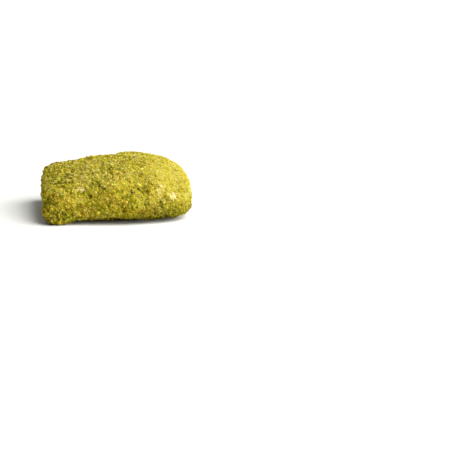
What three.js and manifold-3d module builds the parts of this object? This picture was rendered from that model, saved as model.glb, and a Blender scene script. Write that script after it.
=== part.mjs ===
// One whole baklava piece: a square parcel of thin dough, swollen like a pillow and coated all over
// with ground pistachio. Its left end is low and crisp, its right end fat and round, and its front
// left corner sags to the surface that the piece stands on.
// Millimetres. +X runs to the right end, +Y to the back and +Z up. The origin is on the flat of the
// underside, below the middle of the piece.
import * as THREE from 'three';
import { mergeVertices } from 'three/addons/utils/BufferGeometryUtils.js';
import Module from 'manifold-3d';

// Driving dimensions of the parcel
const HALF_WIDTH = 26.8;
const HALF_DEPTH = 26.1;
const PEAK_HEIGHT = 20.1;
const LEFT_HEIGHT = 13.5;
const RIGHT_HEIGHT = 15.3;
const WAIST_HEIGHT = 6.8; // where the sides stand out furthest

// From here on u and v run from -1 to 1 across the width and the depth
const PEAK_U = 0.24;
const PEAK_V = 0.05;
const FRONT_FALL = 4.8; // how much lower the top is at the front than along its ridge
const BACK_FALL = 0.2;
const BACK_CORNER = { rise: 1.8, u: -1, v: 0.9, reachU: 0.3, reachV: 0.4 }; // the crisp corner at the left
const TOP_DENT = { rise: -0.35, u: -0.05, v: 0.6, reachU: 0.16, reachV: 0.5 };
const FRONT_BOW = { left: 0.12, right: 0.19 }; // the share of its depth that the front draws back at its ends
const FOOT_TUCK = { reach: 0.5, from: 0.3 }; // how far the foot of the left end is drawn in

// How square each section is: 2 is an ellipse, and more is squarer
const PLAN_LEFT = 7.2;
const PLAN_RIGHT = 4.8;
const END_LEFT = 7.2;
const END_RIGHT = 5.4;
const FLANK = 2.9;
const UNDERSIDE = 6.3;
const CROWN_SHARE = 0.05; // keeps the change from end to flank gradual near the crown
const END_BLEND = 0.8; // the left end's form turns into the right end's within this much of the middle

// The underside: its rim lifts off the surface all round, except at the sagging corner
const BASE_DEPTH = 0.35; // how far the middle would sink in if the surface didn't flatten it
const FRONT_LIFT = { height: 2.1, from: 0.4 };
const BACK_LIFT = { height: 1.6, from: 0.6 };
const LEFT_LIFT = { height: 1.3, from: 0.6 };
const RIGHT_LIFT = { height: 1.7, from: 0.65 };
const SAGGING_CORNER = { rise: -2.8, u: -0.83, v: -0.95, reachU: 0.24, reachV: 0.3 };

// Where the filling bulges the skin out, or the dough sinks in between
const SWELLINGS = [
  { x: -21, y: -20, z: 9.5, reach: 4.5, rise: 1.0 },
  { x: -12.5, y: -26, z: 9.5, reach: 5, rise: -1.2 },
  { x: -1.5, y: -21.5, z: 15.5, reach: 7, rise: 1.1 },
  { x: 5.5, y: -26, z: 5.5, reach: 4, rise: 0.8 },
  { x: 11.5, y: -23, z: 12, reach: 6, rise: 0.9 },
  { x: 18.5, y: -24, z: 8, reach: 4, rise: 1.2 },
  { x: 19, y: -17.5, z: 14, reach: 5, rise: -1.4 },
  { x: -9.5, y: 3, z: 18, reach: 4, rise: -0.35 },
  { x: -25.2, y: 20, z: 14, reach: 2.6, rise: 0.7 },
  { x: -24, y: -22.7, z: 2.7, reach: 4.5, rise: 2.7 },
  { x: 24.5, y: -20, z: 4.5, reach: 4, rise: 1.1 },
];

// The coat: lumps of several sizes, and the largest crumbs of nut
const LUMPS = [
  { wave: 15, height: 0.22 },
  { wave: 7, height: 0.14 },
  { wave: 4, height: 0.1 },
];
const LUMP_SLANT = 0.4;
const LARGE_CRUMBS = { count: 60, spacing: 5.5, smallest: 0.75, largest: 1.0, sides: 20 };
const SMALL_CRUMBS = { count: 170, spacing: 2.8, smallest: 0.6, largest: 0.75, sides: 8 };
const CRUMB_LENGTH = 1.25; // the length, least width and thickness of a crumb, as shares of its size
const CRUMB_WIDTH = 0.75;
const CRUMB_THICKNESS = 0.75;
const CRUMB_LOWEST = 1.3; // no crumb is fused on lower than this
const CRUMB_SINK = 0.1; // how deep a crumb sits, as a share of its radius
const CRUMB_SEED = 20241;

// The mesh
const ACROSS = 26; // steps along the width and the depth
const UPWARD = 9; // steps up the sides
const MERGE_TOLERANCE = 1e-5;
const NORMAL_STEP = 0.02; // between the directions that a normal is measured from

function mix(from, to, share) {
  return from + (to - from) * share;
}

// Goes smoothly from 0 at start to 1 at end; start may be the larger
function smooth(start, end, value) {
  const share = Math.min(Math.max((value - start) / (end - start), 0), 1);
  return share * share * (3 - 2 * share);
}

function signedPower(value, power) {
  return Math.sign(value) * Math.abs(value) ** power;
}

// A round hump, or a hollow where its rise is negative
function hump(shape, u, v) {
  return shape.rise * Math.exp(-(((u - shape.u) / shape.reachU) ** 2) - ((v - shape.v) / shape.reachV) ** 2);
}

// The height of the upper skin where the sides don't round it off
function topHeight(u, v) {
  const toLeft = u < PEAK_U;
  const endHeight = toLeft ? LEFT_HEIGHT : RIGHT_HEIGHT;
  const endDistance = toLeft ? PEAK_U + 1 : 1 - PEAK_U;
  const along = Math.min(Math.abs(u - PEAK_U) / endDistance, 1);
  const ridge = mix(endHeight, PEAK_HEIGHT, Math.cos((along * Math.PI) / 2));
  const across = v - PEAK_V;
  const fall = (across < 0 ? FRONT_FALL : BACK_FALL) * across * across;
  return ridge - fall + hump(BACK_CORNER, u, v) + hump(TOP_DENT, u, v);
}

// How far a side's rim is lifted at this distance from the middle of the piece
function lifted(side, distance) {
  return side.height * smooth(side.from, 1, distance);
}

// The height of the underside before the surface flattens it
function underHeight(u, v) {
  const frontAndBack = lifted(FRONT_LIFT, -v) + lifted(BACK_LIFT, v);
  const leftAndRight = lifted(LEFT_LIFT, -u) + lifted(RIGHT_LIFT, u);
  return Math.hypot(frontAndBack, leftAndRight) + hump(SAGGING_CORNER, u, v) - BASE_DEPTH;
}

// The uneven lumps of the coat
function lump({ x, y, z }) {
  let total = 0;
  for (const { wave, height } of LUMPS) {
    const turn = (2 * Math.PI) / wave;
    total += height * Math.sin(turn * (x + LUMP_SLANT * y)) * Math.cos(turn * (y - LUMP_SLANT * z));
  }
  return total;
}

// How far the skin bulges out or sinks in
function swelling(point) {
  let total = 0;
  for (const { x, y, z, reach, rise } of SWELLINGS) {
    const away = Math.hypot(point.x - x, point.y - y, point.z - z);
    total += rise * Math.exp(-((away / reach) ** 2));
  }
  return total;
}

// The point of the skin that lies in a direction from the middle of the piece
function skinPoint(direction) {
  const { x, y, z } = direction.clone().normalize();
  const right = smooth(-END_BLEND, END_BLEND, x);
  const plan = mix(PLAN_LEFT, PLAN_RIGHT, right);
  const flank = y ** 4 / (x ** 4 + y ** 4 + CROWN_SHARE * z ** 4);
  const section = z > 0 ? mix(mix(END_LEFT, END_RIGHT, right), FLANK, flank) : UNDERSIDE;
  const level = (Math.abs(x) ** plan + Math.abs(y) ** plan) ** (section / plan);
  const reach = (level + Math.abs(z) ** section) ** (1 / section);
  const [u, v, w] = [x / reach, y / reach, z / reach];

  const tuck = FOOT_TUCK.reach * smooth(FOOT_TUCK.from, 1, -u) * smooth(0, 1, -w);
  const bow = v < 0 ? (u < 0 ? FRONT_BOW.left : FRONT_BOW.right) * u * u : 0;
  const limit = w > 0 ? topHeight(u, v) : underHeight(u, v);
  const height = mix(WAIST_HEIGHT, limit, Math.abs(w));
  const point = new THREE.Vector3(HALF_WIDTH * u + tuck, HALF_DEPTH * v * (1 - bow), height);

  const outward = new THREE.Vector3(
    signedPower(u, plan - 1),
    signedPower(v, plan - 1),
    signedPower(w, section - 1),
  ).normalize();
  point.addScaledVector(outward, lump(point) + swelling(point));
  point.z = Math.max(point.z, 0);
  return point;
}

function skinNormal(direction) {
  const along = direction.clone().cross(new THREE.Vector3(0, 0, 1)).setLength(NORMAL_STEP);
  const across = direction.clone().cross(along).setLength(NORMAL_STEP);
  const alongSkin = skinPoint(direction.clone().add(along)).sub(skinPoint(direction.clone().sub(along)));
  const acrossSkin = skinPoint(direction.clone().add(across)).sub(skinPoint(direction.clone().sub(across)));
  const normal = alongSkin.cross(acrossSkin).normalize();
  return normal.dot(direction) < 0 ? normal.negate() : normal;
}

// Positions only, with shared vertices merged
function closed(geometry) {
  geometry.deleteAttribute('normal');
  geometry.deleteAttribute('uv');
  return mergeVertices(geometry, MERGE_TOLERANCE);
}

function parcelGeometry() {
  const geometry = closed(new THREE.BoxGeometry(2, 2, 2, ACROSS, ACROSS, UPWARD));
  const position = geometry.getAttribute('position');
  for (let i = 0; i < position.count; i += 1) {
    const point = skinPoint(new THREE.Vector3().fromBufferAttribute(position, i));
    position.setXYZ(i, point.x, point.y, point.z);
  }
  return geometry;
}

// A repeatable run of numbers from 0 to 1
function numberSource(seed) {
  let state = seed;
  return () => {
    state = (Math.imul(state, 1664525) + 1013904223) >>> 0;
    return state / 2 ** 32;
  };
}

// Adds places for crumbs of one kind, clear of those already there and of the underside
function addCrumbPlaces(places, kind, random) {
  const wanted = places.length + kind.count;
  while (places.length < wanted) {
    const direction = new THREE.Vector3(random() * 2 - 1, random() * 2 - 1, random() * 2 - 1);
    const point = skinPoint(direction);
    const clear = places.every((other) => other.point.distanceTo(point) > kind.spacing);
    if (clear && point.z > CRUMB_LOWEST) {
      places.push({ kind, direction, point });
    }
  }
}

function crumbGeometry({ kind, direction, point }, random) {
  const radius = mix(kind.smallest, kind.largest, random());
  const Shape = kind.sides === 20 ? THREE.IcosahedronGeometry : THREE.OctahedronGeometry;
  const geometry = closed(new Shape(radius, 0));
  geometry.scale(CRUMB_LENGTH, mix(CRUMB_WIDTH, 1, random()), CRUMB_THICKNESS);
  geometry.rotateX(random() * Math.PI);
  geometry.rotateZ(random() * Math.PI);
  geometry.rotateY(random() * Math.PI);
  const middle = point.clone().addScaledVector(skinNormal(direction), -CRUMB_SINK * radius);
  return geometry.translate(middle.x, middle.y, middle.z);
}

const wasm = await Module();
wasm.setup();

function solidOf(geometry) {
  const vertProperties = Float32Array.from(geometry.getAttribute('position').array);
  const triVerts = Uint32Array.from(geometry.index.array);
  return new wasm.Manifold(new wasm.Mesh({ numProp: 3, vertProperties, triVerts }));
}

function geometryOf(solid) {
  const { vertProperties, triVerts } = solid.getMesh();
  const geometry = new THREE.BufferGeometry();
  geometry.setAttribute('position', new THREE.BufferAttribute(vertProperties, 3));
  geometry.setIndex(new THREE.BufferAttribute(triVerts, 1));
  return geometry;
}

function coatedParcel() {
  const random = numberSource(CRUMB_SEED);
  const places = [];
  addCrumbPlaces(places, LARGE_CRUMBS, random);
  addCrumbPlaces(places, SMALL_CRUMBS, random);
  let solid = solidOf(parcelGeometry());
  for (const place of places) {
    solid = solid.add(solidOf(crumbGeometry(place, random)));
  }
  return geometryOf(solid);
}

const pistachioCoat = new THREE.MeshStandardMaterial({ color: 0xb3a63a, roughness: 0.9, metalness: 0 });

const piece = new THREE.Mesh(coatedParcel(), pistachioCoat);
piece.name = 'baklava_piece';

const baklava = new THREE.Group();
baklava.add(piece);

export default baklava;
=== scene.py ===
"""One whole baklava piece: a swollen square parcel of thin dough under a thick coat of ground pistachio.

The parcel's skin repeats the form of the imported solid, sized from its box, and carries the fine
relief of the coat. The grains of pistachio lie on it as real meshes, one piece for each colour of nut.
The piece's own sizes are millimetres until its meshes are made. Those, the materials' noise, the
floor and the camera are in metres, like the frame.
"""
import itertools
import math

import bpy
import numpy as np
from mathutils import Matrix, Vector


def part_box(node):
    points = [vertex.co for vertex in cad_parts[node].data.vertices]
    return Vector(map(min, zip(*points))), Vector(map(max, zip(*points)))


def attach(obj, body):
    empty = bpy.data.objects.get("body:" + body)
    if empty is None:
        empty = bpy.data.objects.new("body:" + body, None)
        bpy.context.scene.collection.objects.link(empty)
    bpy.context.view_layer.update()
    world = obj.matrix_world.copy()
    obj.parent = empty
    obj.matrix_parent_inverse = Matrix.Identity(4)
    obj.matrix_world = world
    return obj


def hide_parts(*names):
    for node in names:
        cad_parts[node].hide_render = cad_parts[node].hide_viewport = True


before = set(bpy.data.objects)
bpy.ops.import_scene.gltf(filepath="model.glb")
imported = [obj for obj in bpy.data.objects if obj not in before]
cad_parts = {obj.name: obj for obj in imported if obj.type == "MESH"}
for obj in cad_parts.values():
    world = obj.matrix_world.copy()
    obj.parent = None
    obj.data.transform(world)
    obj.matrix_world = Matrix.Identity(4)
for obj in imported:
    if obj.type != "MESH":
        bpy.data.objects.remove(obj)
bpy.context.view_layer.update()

NODE = "baklava_piece"
MM = 0.001

# Driving dimensions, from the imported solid's box
LOW, HIGH = (np.array(corner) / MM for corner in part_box(NODE))
SIDE_REACH = 0.85  # how far the solid's largest crumbs stand out beyond the skin at the sides
TOP_REACH = 0.48  # and at the top
HALF_WIDTH = (HIGH[0] - LOW[0]) / 2 - SIDE_REACH
HALF_DEPTH = HIGH[1] - SIDE_REACH  # from the back, where nothing bulges out
PEAK_HEIGHT = HIGH[2] - TOP_REACH
LEFT_HEIGHT = PEAK_HEIGHT - 6.6  # the height of the ridge at the left end
RIGHT_HEIGHT = PEAK_HEIGHT - 4.8  # and at the right end
WAIST_HEIGHT = PEAK_HEIGHT - 13.3  # the height at which the parcel is widest

# In the form, u, v and w run from -1 to 1 over the width, the depth and the height
PEAK_U, PEAK_V = 0.24, 0.05
FRONT_FALL, BACK_FALL = 4.8, 0.2  # about how far the top falls from the ridge to the front and the back
FRONT_BOW_LEFT, FRONT_BOW_RIGHT = 0.12, 0.19  # how far the front's ends bow back, in half depths
FOOT_TUCK, TUCK_FROM = 0.5, 0.3  # how far the left end's foot is drawn in, and from which u
BASE_DEPTH = 0.35  # the form goes this far below the floor, and its flat is where it is cut off

# Humps and hollows: how high, middle (u, v) and reach (u, v)
BACK_CORNER = (1.8, (-1.0, 0.9), (0.3, 0.4))
TOP_DENT = (-0.35, (-0.05, 0.6), (0.16, 0.5))
SAGGING_CORNER = (-2.8, (-0.83, -0.95), (0.24, 0.3))

# How far each side's rim lifts off the floor, and from which u or v
FRONT_LIFT = (2.1, 0.4)
BACK_LIFT = (1.6, 0.6)
LEFT_LIFT = (1.3, 0.6)
RIGHT_LIFT = (1.7, 0.65)

# How square each section is: 2 is an ellipse, and more is squarer
PLAN_LEFT, PLAN_RIGHT = 7.2, 4.8  # seen from above
END_LEFT, END_RIGHT = 7.2, 5.4  # upright and above the waist, towards each end
END_BLEND = 0.8  # how far on each side of the middle the left's values pass into the right's
FLANK = 2.9  # upright and above the waist, towards the front and the back
UNDERSIDE = 6.3  # upright and below the waist
CROWN_SHARE = 0.05  # how much the crown takes from the flank's share

# Where the filling bulges the skin out, or the dough sinks in between: place, reach and rise
SWELLINGS = (
    ((-21, -20, 9.5), 4.5, 1.0),
    ((-12.5, -26, 9.5), 5, -1.2),
    ((-1.5, -21.5, 15.5), 7, 1.1),
    ((5.5, -26, 5.5), 4, 0.8),
    ((11.5, -23, 12), 6, 0.9),
    ((18.5, -24, 8), 4, 1.2),
    ((19, -17.5, 14), 5, -1.4),
    ((-9.5, 3, 18), 4, -0.35),
    ((-25.2, 20, 14), 2.6, 0.7),
    ((-24, -22.7, 2.7), 4.5, 2.7),
    ((24.5, -20, 4.5), 4, 1.1),
)

# Lumps of the parcel: wavelength and height
LUMPS = ((15, 0.22), (7, 0.14), (4, 0.10))
LUMP_SLANT = 0.4  # how far their rows slant

# The coat
COAT_DEPTH = 0.2  # the dough lies this far inside the parcel's outer form
GRAIN_GAP = 0.25  # and stands this far off the floor, on its grains
ACROSS, UPWARD = 168, 62  # mesh steps of the skin
SWELLS = ((4.5, 0.18), (1.6, 0.12))  # cell and height of each scale of soft relief
CLUMPS = ((2.8, 0.5), (1.5, 0.58))  # cell and height of the clumps in which the grains hold together
CLUMP_HEIGHTS = (0.5, 1.0)  # the least and most of a clump, in its size's height
CLUMP_SIDE = (-0.05, 0.7)  # how much nearer its middle is than the next, in cells, from foot to top
CLUMP_MIDDLE = 0.35  # the mean of what clumps() gives
GAP_RELIEF, CLUMP_RELIEF = -0.27, 0.05  # the relief at which a place counts as in a gap, and as out of it, for the painted shade
CALM_TOP, CALM_RIGHT = 0.9, 0.45  # how rough the coat still is on the top, and high up at the right end
TOP_FROM, RIGHT_FROM, HIGH_FROM = (11, 16), (4, 18), (7, 12)  # the z, x and z over which they are reached
PATCHES = ((1.5, 5.5), (5.0, 4.0))  # cell and strength of each scale of the drift in colour
SHEEN_HEIGHTS, SHEEN_END = (10, 18), (4, 22)  # a paler sheen is painted on over these z and x
STRONGEST_SHEEN = 1.5  # how strong the painted sheen is at the right end, where the top counts as 1
RIM_SHADE_TOP = 6.5  # painted shade darkens the coat below this height, along the rim, where shade falls under the piece
RIM_SHADE_SLANT = 0.16  # and from this much higher up for each millimetre to the right
CELL_MARGIN = 6  # spare cells round the piece in each pattern

# Seeds: of the grains, and of each pattern
SEED = 7
CLUMP_SEED, RAGGED_SEED, TONE_SEED, KIND_SEED = SEED + 30, SEED + 50, SEED + 90, SEED + 100
KIND_SEED_STEP = 20  # from one scale of PATCHES to the next

# Where the coat is thin and pale dough shows: place on the skin, reach and how bare it is
BARE_PATCHES = (
    ((19.3, -22.1, 9.6), 1.3, 0.85),
    ((-13.3, -20.3, 12.1), 1.1, 0.9),
    ((15.2, -20.0, 12.9), 0.9, 0.8),
    ((13.9, -22.7, 11.6), 0.8, 0.6),
    ((-20.0, 14.0, 16.0), 1.2, 0.7),
    ((26.0, 6.0, 9.0), 1.4, 0.8),
    ((8.0, 26.0, 8.0), 1.5, 0.9),
    ((-10.0, 25.5, 10.0), 1.1, 0.8),
    ((-26.5, -4.0, 8.0), 1.2, 0.7),
)
BARE_STRETCH = (1, 0.5, 1.2)  # how much a millimetre along x, y and z counts towards the reach
BARE_EDGE = (1.6, 0.4)  # where a patch begins and where it is reached, in reaches
RAGGED_CELL, RAGGED_SHARE = 0.8, 0.9  # cell and strength of the noise in its edge
BARE_EVENNESS = 0.8  # how much of the coat's relief is gone where it is bare
BARE_DEPTH = 0.15  # and how much lower the surface lies there

# Where a crumb fell out of the coat and left a pit, dark from its depth and from the painted shade of the
# gaps: place and reach
PITS = (
    ((-10.2, -23.3, 10.0), 1.0),
    ((-3.8, -25.8, 7.1), 0.6),
    ((-2.0, -22.0, 14.0), 0.8),
    ((8.0, -22.5, 12.5), 0.9),
    ((14.5, -25.0, 8.0), 0.7),
    ((2.0, 25.0, 10.0), 0.9),
    ((25.5, -3.0, 8.0), 0.8),
    ((-25.8, 9.0, 9.0), 0.9),
)
PIT_FLOOR = 0.4  # where a pit's floor begins, in reaches
PIT_DEPTH = 0.65

# Light: the strength of each, the way to the key light, and how wide a lamp is
KEY_LIGHT, TOP_LIGHT, SKY_LIGHT = 8.0, 0.75, 0.05
KEY_TOWARDS = Vector((0.73, -0.39, 0.55))
TOP_TOWARDS = Vector((0, 0, 1))
LIGHT_SPREAD = math.radians(80)
LIGHT_COLOUR = (1.0, 1.0, 0.98)
WHITE = (1.0, 1.0, 1.0, 1.0)

# The floor
FLOOR_HALF = 6.0
FLOOR_COLOUR = "#dcdcd9"
FLOOR_ROUGHNESS = 0.9

# The camera, as the photograph was taken
ELEVATION = math.radians(10.5)
AZIMUTH = math.radians(-2.6)
DISTANCE = 0.70
LENS, SENSOR = 150.0, 36.0
FRAME_PIXELS = 458
PIECE_MIDDLE = Vector((0, 0, 0.007))
PIECE_PIXEL = (115.9, 192.9)  # where that point lies in the photograph


def mix(start, end, share):
    return start + (end - start) * share


def smooth(start, end, value):
    """Goes smoothly from 0 at start to 1 at end; start may be the larger."""
    share = np.clip((value - start) / (end - start), 0, 1)
    return share * share * (3 - 2 * share)


def hump(shape, u, v):
    """A round hump at its place on the form, or a hollow where its rise is negative."""
    rise, middle, reach = shape
    return rise * np.exp(-(((u - middle[0]) / reach[0]) ** 2) - ((v - middle[1]) / reach[1]) ** 2)


# ---------------------------------------------------------------- the parcel's form


def top_height(u, v):
    """The height of the parcel's top: a ridge from end to end that falls to the front and the back."""
    end_height = np.where(u < PEAK_U, LEFT_HEIGHT, RIGHT_HEIGHT)
    end_distance = np.where(u < PEAK_U, PEAK_U + 1, 1 - PEAK_U)
    along = np.minimum(np.abs(u - PEAK_U) / end_distance, 1)
    ridge = mix(end_height, PEAK_HEIGHT, np.cos(along * math.pi / 2))
    across = v - PEAK_V
    fall = np.where(across < 0, FRONT_FALL, BACK_FALL) * across**2
    return ridge - fall + hump(BACK_CORNER, u, v) + hump(TOP_DENT, u, v)


def lifted(side, distance):
    """How far one side's rim is off the floor at this distance towards it."""
    height, start = side
    return height * smooth(start, 1, distance)


def under_height(u, v):
    """The height of the parcel's underside, whose rim lifts on every side but at the sagging corner."""
    front_and_back = lifted(FRONT_LIFT, -v) + lifted(BACK_LIFT, v)
    left_and_right = lifted(LEFT_LIFT, -u) + lifted(RIGHT_LIFT, u)
    return np.hypot(front_and_back, left_and_right) + hump(SAGGING_CORNER, u, v) - BASE_DEPTH


def lump(x, y, z):
    """How far the parcel's low lumps stand out at a place."""
    total = 0
    for wave, height in LUMPS:
        turn = 2 * math.pi / wave
        total += height * np.sin(turn * (x + LUMP_SLANT * y)) * np.cos(turn * (y - LUMP_SLANT * z))
    return total


def swelling(points):
    """How far the swellings and hollows move the skin at points."""
    total = np.zeros(len(points))
    for place, reach, rise in SWELLINGS:
        away = np.linalg.norm(points - place, axis=1)
        total += rise * np.exp(-((away / reach) ** 2))
    return total


def signed_power(value, power):
    return np.sign(value) * np.abs(value) ** power


def skin_points(directions):
    """The points of the skin that lie in these directions from the middle of the piece."""
    x, y, z = (directions / np.linalg.norm(directions, axis=1, keepdims=True)).T
    right = smooth(-END_BLEND, END_BLEND, x)
    plan = mix(PLAN_LEFT, PLAN_RIGHT, right)
    flank = y**4 / (x**4 + y**4 + CROWN_SHARE * z**4)
    section = np.where(z > 0, mix(mix(END_LEFT, END_RIGHT, right), FLANK, flank), UNDERSIDE)
    level = (np.abs(x) ** plan + np.abs(y) ** plan) ** (section / plan)
    reach = (level + np.abs(z) ** section) ** (1 / section)
    u, v, w = x / reach, y / reach, z / reach

    tuck = FOOT_TUCK * smooth(TUCK_FROM, 1, -u) * smooth(0, 1, -w)
    bow = np.where(v < 0, np.where(u < 0, FRONT_BOW_LEFT, FRONT_BOW_RIGHT) * u**2, 0)
    limit = np.where(w > 0, top_height(u, v), under_height(u, v))
    height = mix(WAIST_HEIGHT, limit, np.abs(w))
    points = np.stack([HALF_WIDTH * u + tuck, HALF_DEPTH * v * (1 - bow), height], axis=1)

    powers = (signed_power(u, plan - 1), signed_power(v, plan - 1), signed_power(w, section - 1))
    outward = np.stack(powers, axis=1)
    outward /= np.linalg.norm(outward, axis=1, keepdims=True)
    return points + outward * (lump(*points.T) + swelling(points))[:, None]


def cells_of(points, size):
    """The cell that holds each point, its place within it, and how many cells the whole piece needs."""
    at = (points - LOW) / size + CELL_MARGIN
    corner = np.floor(at).astype(int)
    count = np.ceil((HIGH - LOW) / size).astype(int) + 2 * CELL_MARGIN
    return corner, at - corner, tuple(count)


def noise_field(points, size, seed):
    """Smooth noise from 0 to 1 at points, with features about as wide as size."""
    corner, within, count = cells_of(points, size)
    share = smooth(0, 1, within)
    lattice = np.random.default_rng(seed).random(count)
    total = np.zeros(len(points))
    for step in np.ndindex(2, 2, 2):
        weight = np.prod(np.where(step, share, 1 - share), axis=1)
        total += weight * lattice[tuple((corner + step).T)]
    return total


def clumps(points, size):
    """From about 0 in the gaps between clumps to 1 on top of the highest."""
    corner, within, count = cells_of(points, size)
    rng = np.random.default_rng(CLUMP_SEED)
    middles = rng.random(count + (3,))
    heights = rng.uniform(*CLUMP_HEIGHTS, count)
    nearest = np.full(len(points), np.inf)
    second = np.full(len(points), np.inf)
    own_height = np.zeros(len(points))
    for step in np.ndindex(3, 3, 3):
        beside = np.array(step) - 1
        index = tuple((corner + beside).T)
        away = np.linalg.norm(beside + middles[index] - within, axis=1)
        closer = away < nearest
        second = np.where(closer, nearest, np.minimum(second, away))
        own_height = np.where(closer, heights[index], own_height)
        nearest = np.where(closer, away, nearest)
    return own_height * np.sqrt(smooth(*CLUMP_SIDE, second - nearest))


def bareness(points):
    """How thin the coat is at points, from 0 to 1, with ragged edges."""
    ragged = 1 + RAGGED_SHARE * (noise_field(points, RAGGED_CELL, RAGGED_SEED) - 0.5)
    begins, reached = BARE_EDGE
    bare = np.zeros(len(points))
    for place, reach, strength in BARE_PATCHES:
        away = np.linalg.norm((points - place) * BARE_STRETCH, axis=1) * ragged
        bare = np.maximum(bare, strength * smooth(begins * reach, reached * reach, away))
    return bare


def pitted(points):
    """How much of a pit there is at points, from 0 to 1."""
    total = np.zeros(len(points))
    for place, reach in PITS:
        away = np.linalg.norm(points - place, axis=1)
        total = np.maximum(total, smooth(reach, PIT_FLOOR * reach, away))
    return total


def coarseness(points):
    """How rough the coat is at points: 1 at the front, and less on the top and high up at the right end."""
    top = mix(1, CALM_TOP, smooth(*TOP_FROM, points[:, 2]))
    right = smooth(*RIGHT_FROM, points[:, 0]) * smooth(*HIGH_FROM, points[:, 2])
    return top * mix(1, CALM_RIGHT, right)


def coat_relief(points):
    """How far the coat stands out of its mean level at points on the skin."""
    relief = np.zeros(len(points))
    for size, height in CLUMPS:
        relief += height * (clumps(points, size) - CLUMP_MIDDLE)
    for number, (cell, height) in enumerate(SWELLS):
        relief += height * (2 * noise_field(points, cell, SEED + number) - 1)
    return relief * coarseness(points) - PIT_DEPTH * pitted(points)


def shade_in_gaps_and_rim(points):
    """Painted shade: from 0 on the coat's clumps to 1 in the gaps between them and along the rim, where
    shade falls.
    """
    gap = smooth(CLUMP_RELIEF, GAP_RELIEF, coat_relief(points))
    rim = smooth(RIM_SHADE_TOP, 0, points[:, 2] - RIM_SHADE_SLANT * points[:, 0])
    return np.maximum(gap, rim)


def sheen_on_top_and_end(points):
    """Painted sheen: from 0 low on the coat's sides to 1 on its top, and higher still at the right end."""
    return np.maximum(smooth(*SHEEN_HEIGHTS, points[:, 2]), STRONGEST_SHEEN * smooth(*SHEEN_END, points[:, 0]))


# ---------------------------------------------------------------- meshes

TINY = 1e-9  # keeps a division by a length of 0 from failing


def cube_skin():
    """Directions over a cube's surface and the quads between them, as one closed mesh."""
    steps = np.array([ACROSS, ACROSS, UPWARD])
    places, quads = [], []
    for axis in range(3):
        across, up = (axis + 1) % 3, (axis + 2) % 3
        rows, columns = steps[across], steps[up]
        grid = np.stack(np.meshgrid(np.arange(rows + 1), np.arange(columns + 1), indexing="ij"), -1)
        corner = (np.arange(rows)[:, None] * (columns + 1) + np.arange(columns)).ravel()
        quad = np.stack([corner, corner + columns + 1, corner + columns + 2, corner + 1], axis=1)
        for side in (0, 1):
            place = np.zeros((len(grid.reshape(-1, 2)), 3), int)
            place[:, axis] = side * steps[axis]
            place[:, [across, up]] = grid.reshape(-1, 2)
            quads.append((quad if side else quad[:, ::-1]) + sum(map(len, places)))
            places.append(place)
    places, merged = np.unique(np.concatenate(places), axis=0, return_inverse=True)
    return places / steps * 2 - 1, merged.ravel()[np.concatenate(quads)]


def make_mesh(name, points, faces):
    """An object with these points, in millimetres, and faces that all have as many corners."""
    mesh = bpy.data.meshes.new(name)
    mesh.vertices.add(len(points))
    mesh.vertices.foreach_set("co", (points * MM).astype(np.float32).ravel())
    mesh.loops.add(faces.size)
    mesh.loops.foreach_set("vertex_index", faces.astype(np.int32).ravel())
    mesh.polygons.add(len(faces))
    mesh.polygons.foreach_set("loop_start", np.arange(0, faces.size, faces.shape[1], dtype=np.int32))
    mesh.update(calc_edges=True)
    mesh.validate()
    made = bpy.data.objects.new(name, mesh)
    bpy.context.scene.collection.objects.link(made)
    return made


def give_attribute(made, name, values):
    attribute = made.data.attributes.new(name, "FLOAT", "POINT")
    attribute.data.foreach_set("value", values.astype(np.float32))


def face_frames(points, faces):
    """The middle, area and outward direction of each quad, from its two diagonals."""
    first = points[faces[:, 2]] - points[faces[:, 0]]
    second = points[faces[:, 3]] - points[faces[:, 1]]
    cross = np.cross(first, second)
    doubled = np.linalg.norm(cross, axis=1)
    return points[faces].mean(axis=1), doubled / 2, cross / np.maximum(doubled, TINY)[:, None]


def vertex_directions(points, faces):
    """The outward direction at each point, from the quads round it by their areas."""
    _, areas, outward = face_frames(points, faces)
    total = np.zeros_like(points)
    for corner in faces.T:
        np.add.at(total, corner, outward * areas[:, None])
    return total / np.maximum(np.linalg.norm(total, axis=1, keepdims=True), TINY)


def coat_skin():
    """The skin with the relief of its coat: its points, its quads, and how much painted shade it has at
    each point.
    """
    directions, quads = cube_skin()
    points = skin_points(directions)
    painted_shade = shade_in_gaps_and_rim(points)
    bare = bareness(points)
    relief = coat_relief(points) * (1 - BARE_EVENNESS * bare)
    relief -= COAT_DEPTH + BARE_DEPTH * bare
    points += vertex_directions(points, quads) * relief[:, None]
    points[:, 2] = np.maximum(points[:, 2], GRAIN_GAP)
    return points, quads, painted_shade


# ---------------------------------------------------------------- grains

OCTAHEDRON = (
    np.array([(1, 0, 0), (-1, 0, 0), (0, 1, 0), (0, -1, 0), (0, 0, 1), (0, 0, -1)], float),
    np.array([(0, 2, 4), (2, 1, 4), (1, 3, 4), (3, 0, 4), (2, 0, 5), (1, 2, 5), (3, 1, 5), (0, 3, 5)]),
)


def icosahedron():
    golden = (1 + math.sqrt(5)) / 2
    edge = 2.0
    corners = []
    for shift, a, b in itertools.product(range(3), (-1, 1), (-golden, golden)):
        corners.append(np.roll((0, a, b), shift))
    corners = np.array(corners, float)
    triangles = []
    for i, j, k in itertools.combinations(range(len(corners)), 3):
        trio = corners[[i, j, k]]
        sides = np.linalg.norm(trio - np.roll(trio, 1, axis=0), axis=1)
        if np.allclose(sides, edge):
            outward = np.dot(np.cross(trio[1] - trio[0], trio[2] - trio[0]), trio[0]) > 0
            triangles.append((i, j, k) if outward else (i, k, j))
    return corners / np.linalg.norm(corners[0]), np.array(triangles)


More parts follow.
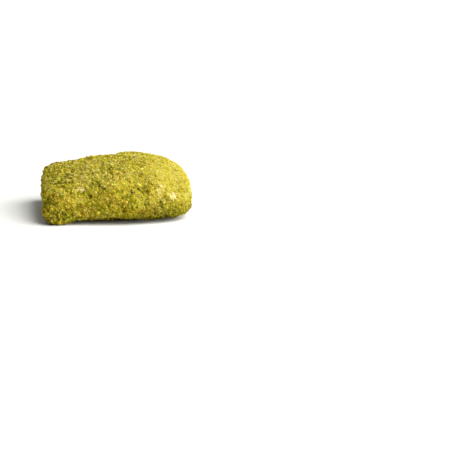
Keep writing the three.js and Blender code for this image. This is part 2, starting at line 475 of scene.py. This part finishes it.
def lying_turns(outward, rng):
    """Rotation matrices that turn z to about the outward direction, and x any way along the coat."""
    upright = outward + rng.normal(scale=GRAIN_TILT, size=outward.shape)
    upright /= np.linalg.norm(upright, axis=1, keepdims=True)
    along = np.cross(upright, rng.normal(size=outward.shape))
    along /= np.linalg.norm(along, axis=1, keepdims=True)
    return np.stack([along, np.cross(upright, along), upright], axis=2)


def grains(shape, middles, outward, radii, stretch, rng):
    """Uneven grains of one shape, lying on the coat: each one's points, and the shape's triangles."""
    corners, triangles = shape
    count = len(middles)
    uneven = rng.uniform(*GRAIN_UNEVENNESS, (count, len(corners), 1))
    widths = rng.uniform(*GRAIN_WIDTHS, count)
    thicknesses = rng.uniform(*GRAIN_THICKNESSES, count)
    lengths = np.stack([stretch, widths, thicknesses], axis=1)
    points = corners * uneven * (radii[:, None] * lengths)[:, None, :]
    points = np.einsum("nij,nkj->nki", lying_turns(outward, rng), points) + middles[:, None, :]
    points[:, :, 2] = np.maximum(points[:, :, 2], LOWEST_GRAIN)
    return points, triangles


# Each size of grain: how many, shape, least and most radius, most stretch, and how far out of the skin
# the least and most of their middles lie, in radii
SIZES = (
    (50000, OCTAHEDRON, 0.10, 0.18, 1.8, (0.0, 1.0)),  # powder
    (26000, OCTAHEDRON, 0.18, 0.28, 2.0, (-0.3, 0.5)),  # fine grains
    (2500, OCTAHEDRON, 0.17, 0.24, 3.5, (-0.6, 0.2)),  # slivers
    (5200, icosahedron(), 0.28, 0.46, 1.6, (-0.3, 0.4)),  # middling grains
    (600, icosahedron(), 0.46, 0.70, 1.4, (-0.2, 0.3)),  # coarse grains
)
SMALL_BIAS = 1.5  # above 1, more of a size's grains are near its least radius
FINEST = 0.6  # a grain's share of its usual size where the coat would have no roughness left
GRAIN_WIDTHS, GRAIN_THICKNESSES = (0.75, 1.1), (0.4, 0.75)  # least and most, in radii
GRAIN_UNEVENNESS = (0.75, 1.25)  # how far in and out a grain's single corners lie
GRAIN_TILT = 0.3  # how far the grains lean from lying flat
LOWEST_GRAIN = 0.03  # the least height of a grain's corner above the floor

# Where the grains are fewer
BARE_LOSS, PIT_LOSS = 0.93, 0.8  # the share that is missing on a bare patch, and in a pit
FLAT_BAND = 0.02  # what is this little above GRAIN_GAP is the flat that the piece stands on
FLAT_SHARE = 0.3  # the share that is left there

# A grain's tone runs from 0 to 1 over its kind's three colours
TONE_CELL = 1.0  # cell of the drift in tone
TONE_SCATTER = 0.3  # how much of the tone is the grain's own
TONE_RANGE = 1.2  # how much of a kind's tones its grains span
SHADE_LOSS = 0.5  # how much lower the tone is under the painted shade

# Each colour of nut: its weight in the mix, its pull towards the painted shade and towards the painted
# sheen, and its tones
KINDS = {
    "lime": (0.27, 0.0, 0.3, ("#897b06", "#ad9f22", "#bdb03e")),
    "straw": (0.20, -1.0, 1.2, ("#91841a", "#b5a84a", "#c4b766")),
    "gold": (0.125, -0.3, -0.4, ("#8a6e0c", "#b19428", "#c0a442")),
    "leaf": (0.18, 0.8, -0.6, ("#6f6d04", "#909110", "#a0a22c")),
    "moss": (0.08, 2.2, -0.9, ("#403e00", "#636302", "#7b790d")),
    "olive": (0.09, 1.0, -0.9, ("#735304", "#987614", "#aa8a2e")),
    "cream": (0.006, -2.0, 0.5, ("#b4a24c", "#cabb6e", "#d2c47e")),
    "skin": (0.016, 1.5, 0.0, ("#5c3a0e", "#704c16", "#825c22")),
}


def spread(points, quads, count, rng):
    """Places drawn over the coat, fewer where it is bare, pitted or flat, and their outward directions."""
    middles, areas, outward = face_frames(points, quads)
    chance = areas * (1 - BARE_LOSS * bareness(middles)) * (1 - PIT_LOSS * pitted(middles))
    chance *= np.where(middles[:, 2] < GRAIN_GAP + FLAT_BAND, FLAT_SHARE, 1)
    chosen = rng.choice(len(quads), count, p=chance / chance.sum())
    weights = rng.dirichlet((1, 1, 1, 1), count)
    places = np.einsum("nc,ncx->nx", weights, points[quads[chosen]])
    return places, outward[chosen]


def choose_kinds(places, rng):
    """A kind and a tone for each place. The kinds keep together in patches; as painted shade the darker go
    to the gaps and the rim, and as painted sheen the paler go to the top and the right end.
    """
    painted_shade = shade_in_gaps_and_rim(places)
    painted_sheen = sheen_on_top_and_end(places)
    chances = []
    for number, (share, shade_pull, sheen_pull, _) in enumerate(KINDS.values()):
        pull = shade_pull * painted_shade + sheen_pull * painted_sheen
        for scale, (cell, strength) in enumerate(PATCHES):
            seed = KIND_SEED + KIND_SEED_STEP * scale + number
            pull += strength * (noise_field(places, cell, seed) - 0.5)
        chances.append(share * np.exp(pull))
    chances = np.cumsum(np.array(chances).T, axis=1)
    pick = rng.random(len(places)) * chances[:, -1]
    tone = mix(noise_field(places, TONE_CELL, TONE_SEED), rng.random(len(places)), TONE_SCATTER)
    tone = 0.5 + (tone - 0.5) * TONE_RANGE * coarseness(places)
    # painted shade lowers the tone in the gaps and along the rim
    tone = np.clip(tone - SHADE_LOSS * painted_shade, 0, 1)
    return (pick[:, None] > chances).sum(axis=1), tone


def make_grains(points, quads):
    """One object for each kind of nut, holding its grains of all sizes."""
    rng = np.random.default_rng(SEED)
    parts = {name: [] for name in KINDS}
    for count, shape, least, most, longest, offsets in SIZES:
        places, outward = spread(points, quads, count, rng)
        radii = mix(least, most, rng.random(count) ** SMALL_BIAS) * mix(FINEST, 1, coarseness(places))
        middles = places + outward * (radii * rng.uniform(*offsets, count))[:, None]
        stretch = rng.uniform(1.0, longest, count)
        found, triangles = grains(shape, middles, outward, radii, stretch, rng)
        kinds, tones = choose_kinds(places, rng)
        for number, name in enumerate(KINDS):
            mine = kinds == number
            parts[name].append((found[mine], triangles, tones[mine]))
    return [join_grains(name, parts[name]) for name in KINDS]


def join_grains(name, parts):
    """One object of all a kind's grains, with the tone of each."""
    points, faces, tones = [], [], []
    total = 0
    for found, triangles, tone in parts:
        count, corners = found.shape[:2]
        offsets = total + np.arange(count)[:, None, None] * corners
        points.append(found.reshape(-1, 3))
        faces.append((triangles[None] + offsets).reshape(-1, 3))
        tones.append(np.repeat(tone, corners))
        total += count * corners
    made = make_mesh(f"grains_{name}", np.concatenate(points), np.concatenate(faces))
    made.data.shade_smooth()
    give_attribute(made, "tone", np.concatenate(tones))
    return made


# ---------------------------------------------------------------- materials

# A range is what the noise of that size runs between. A bump is its noise's size, strength and height
SHINE = 0.12  # the specular level of the grains and of the coat
PLAIN_DETAIL, FINE_DETAIL = 3.0, 5.0
COLOUR_A, COLOUR_B, COLOUR_MIXED = 6, 7, 2  # the Mix node's colour sockets, whose names aren't their own

TONE_STOPS = (0.1, 0.5, 0.9)  # where a kind's three tones lie
FLECK_SIZE, FLECK_RANGE = 0.00035, (0.9, 1.07)
GRAIN_ROUGHNESS = 0.85
GRAIN_ROUGH_SIZE, GRAIN_ROUGH_RANGE = 0.0005, (0.7, 0.98)
GRAIN_BUMP = (0.00015, 0.25, 0.00005)
GLOW_SHARE, GLOW_COLOURS, GLOW_DEPTH = 0.7, (0.9, 1.0, 0.35), 0.0004  # the light that passes into a grain

POWDER_COLOUR = "#b8ab40"
POWDER_SIZE = 0.0006
POWDER_TONES = (
    (0.28, "#786a0a"),
    (0.42, "#8d7e12"),
    (0.52, "#9e8f1c"),
    (0.64, "#ac9d2a"),
    (0.78, "#b9ab3c"),
)
# a paler powder painted on as sheen on the top and the right end
SHEEN_POWDER, SHEEN_SHARE = "#b0a34c", 0.5
# a dark powder painted on as shade in the gaps and along the rim
SHADE_POWDER, SHADE_SHARE = "#403b02", 0.55
DOUGH_SIZE = 0.0011
DOUGH_TONES = ((0.35, "#b39f62"), (0.6, "#c6b484"))
COAT_ROUGHNESS = 0.9
COAT_ROUGH_SIZE, COAT_ROUGH_RANGE = 0.0008, (0.75, 0.98)
COAT_BUMP = (0.0004, 0.7, 0.00015)


def colour(code):
    """A linear colour from an sRGB code such as #cfc438."""
    parts = [int(code[i : i + 2], 16) / 255 for i in (1, 3, 5)]
    return tuple(p / 12.92 if p <= 0.04045 else ((p + 0.055) / 1.055) ** 2.4 for p in parts) + (1.0,)


class Shader:
    """A short way to write a material's nodes."""

    def __init__(self, name, plain, roughness):
        self.material = bpy.data.materials.new(name)
        self.material.use_nodes = True
        self.material.diffuse_color = plain
        self.tree = self.material.node_tree
        self.surface = self.tree.nodes["Principled BSDF"]
        self.surface.inputs["Base Color"].default_value = plain
        self.surface.inputs["Roughness"].default_value = roughness
        self.place = self.node("ShaderNodeTexCoord").outputs["Object"]

    def node(self, kind, **inputs):
        made = self.tree.nodes.new(kind)
        for name, value in inputs.items():
            self.put(value, made.inputs[name])
        return made

    def put(self, value, socket):
        if isinstance(value, bpy.types.NodeSocket):
            self.tree.links.new(value, socket)
        else:
            socket.default_value = value

    def noise(self, size, detail=PLAIN_DETAIL):
        """Noise whose features are about size metres wide."""
        made = self.node("ShaderNodeTexNoise", Vector=self.place, Scale=1 / size, Detail=detail)
        return made.outputs["Fac"]

    def ramp(self, value, stops):
        made = self.node("ShaderNodeValToRGB", Fac=value)
        elements = made.color_ramp.elements
        for number, (place, code) in enumerate(stops):
            element = elements[number] if number < 2 else elements.new(place)
            element.position = place
            element.color = colour(code)
        return made.outputs["Color"]

    def attribute(self, name):
        made = self.node("ShaderNodeAttribute")
        made.attribute_name = name
        return made.outputs["Fac"]

    def blend(self, share, first, second, kind="MIX"):
        made = self.tree.nodes.new("ShaderNodeMix")
        made.data_type = "RGBA"
        made.blend_type = kind
        self.put(share, made.inputs["Factor"])
        self.put(first, made.inputs[COLOUR_A])
        self.put(second, made.inputs[COLOUR_B])
        return made.outputs[COLOUR_MIXED]

    def span(self, value, least, most):
        limits = {"To Min": least, "To Max": most}
        return self.node("ShaderNodeMapRange", Value=value, **limits).outputs["Result"]

    def bump(self, size, strength, distance, detail=PLAIN_DETAIL):
        height = self.noise(size, detail)
        made = self.node("ShaderNodeBump", Height=height, Strength=strength, Distance=distance)
        self.put(made.outputs["Normal"], self.surface.inputs["Normal"])


def grain_material(name, tones):
    """A kind's colour by each grain's tone, finely flecked, and soft with the light that passes in."""
    shader = Shader(f"pistachio_{name}", colour(tones[1]), GRAIN_ROUGHNESS)
    inputs = shader.surface.inputs
    own = shader.ramp(shader.attribute("tone"), tuple(zip(TONE_STOPS, tones)))
    fleck = shader.span(shader.noise(FLECK_SIZE), *FLECK_RANGE)
    grey = shader.node("ShaderNodeCombineColor", Red=fleck, Green=fleck, Blue=fleck).outputs["Color"]
    shader.put(shader.blend(1.0, own, grey, "MULTIPLY"), inputs["Base Color"])
    shader.put(shader.span(shader.noise(GRAIN_ROUGH_SIZE), *GRAIN_ROUGH_RANGE), inputs["Roughness"])
    shader.put(SHINE, inputs["Specular IOR Level"])
    shader.put(GLOW_SHARE, inputs["Subsurface Weight"])
    shader.put(GLOW_COLOURS, inputs["Subsurface Radius"])
    shader.put(GLOW_DEPTH, inputs["Subsurface Scale"])
    shader.bump(*GRAIN_BUMP)
    return shader.material


def coat_material():
    """Fine powder, paler under the painted sheen and darker under the painted shade, that turns to pale
    dough where the coat is bare.
    """
    shader = Shader("powdered_dough", colour(POWDER_COLOUR), COAT_ROUGHNESS)
    inputs = shader.surface.inputs
    powder = shader.ramp(shader.noise(POWDER_SIZE, FINE_DETAIL), POWDER_TONES)
    painted_sheen = shader.span(shader.attribute("painted_sheen"), 0.0, SHEEN_SHARE)
    powder = shader.blend(painted_sheen, powder, colour(SHEEN_POWDER))
    painted_shade = shader.span(shader.attribute("painted_shade"), 0.0, SHADE_SHARE)
    powder = shader.blend(painted_shade, powder, colour(SHADE_POWDER))
    dough = shader.ramp(shader.noise(DOUGH_SIZE), DOUGH_TONES)
    shader.put(shader.blend(shader.attribute("bare"), powder, dough), inputs["Base Color"])
    shader.put(shader.span(shader.noise(COAT_ROUGH_SIZE), *COAT_ROUGH_RANGE), inputs["Roughness"])
    shader.put(SHINE, inputs["Specular IOR Level"])
    shader.bump(*COAT_BUMP, FINE_DETAIL)
    return shader.material


# ---------------------------------------------------------------- the piece and its setting


def build_piece():
    points, quads, painted_shade = coat_skin()
    dough = make_mesh("dough_parcel", points, quads)
    give_attribute(dough, "bare", bareness(points))
    # painted shade in the gaps and along the rim
    give_attribute(dough, "painted_shade", painted_shade)
    # painted sheen on the top and the right end
    give_attribute(dough, "painted_sheen", sheen_on_top_and_end(points))
    dough.data.shade_smooth()
    dough.data.materials.append(coat_material())
    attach(dough, "root")
    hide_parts(NODE)
    for made, (name, (*_, tones)) in zip(make_grains(points, quads), KINDS.items()):
        made.data.materials.append(grain_material(name, tones))
        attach(made, "root")


def build_floor():
    corners = np.array([(-1, -1, 0), (1, -1, 0), (1, 1, 0), (-1, 1, 0)]) * FLOOR_HALF / MM
    floor = make_mesh("floor", corners, np.array([[0, 1, 2, 3]]))
    shader = Shader("paper_floor", colour(FLOOR_COLOUR), FLOOR_ROUGHNESS)
    shader.surface.inputs["Specular IOR Level"].default_value = 0.0
    floor.data.materials.append(shader.material)


def add_light(name, strength, towards):
    light = bpy.data.lights.new(name, "SUN")
    light.energy = strength
    light.angle = LIGHT_SPREAD
    light.color = LIGHT_COLOUR
    lamp = bpy.data.objects.new(name, light)
    lamp.rotation_euler = towards.to_track_quat("Z", "Y").to_euler()
    bpy.context.scene.collection.objects.link(lamp)


def build_lights():
    add_light("key", KEY_LIGHT, KEY_TOWARDS)
    add_light("top", TOP_LIGHT, TOP_TOWARDS)
    world = bpy.data.worlds.new("studio")
    world.use_nodes = True
    background = world.node_tree.nodes["Background"]
    background.inputs["Color"].default_value = WHITE
    background.inputs["Strength"].default_value = SKY_LIGHT
    bpy.context.scene.world = world
    bpy.context.scene.view_settings.view_transform = "Standard"


def build_camera():
    """Looks level from side to side, with the piece at its own place in the photograph's frame."""
    level = math.cos(ELEVATION)
    towards = Vector((level * math.sin(AZIMUTH), -level * math.cos(AZIMUTH), math.sin(ELEVATION)))
    focal_pixels = LENS / SENSOR * FRAME_PIXELS
    right = (PIECE_PIXEL[0] - FRAME_PIXELS / 2) / focal_pixels
    up = (FRAME_PIXELS / 2 - PIECE_PIXEL[1]) / focal_pixels
    ray = Vector((right, up, -1)).normalized()
    pitch = math.asin(-towards.z / math.hypot(ray.y, ray.z)) - math.atan2(ray.y, -ray.z)
    tilt = Matrix.Rotation(math.pi / 2 + pitch, 4, "X")
    tilted = tilt @ ray
    turn = math.atan2(-towards.y, -towards.x) - math.atan2(tilted.y, tilted.x)
    camera = bpy.data.objects.new("camera", bpy.data.cameras.new("camera"))
    camera.data.lens = LENS
    camera.data.sensor_width = SENSOR
    place = Matrix.Translation(PIECE_MIDDLE + towards * DISTANCE)
    camera.matrix_world = place @ Matrix.Rotation(turn, 4, "Z") @ tilt
    bpy.context.scene.collection.objects.link(camera)
    bpy.context.scene.camera = camera


build_camera()
build_lights()
build_floor()
build_piece()
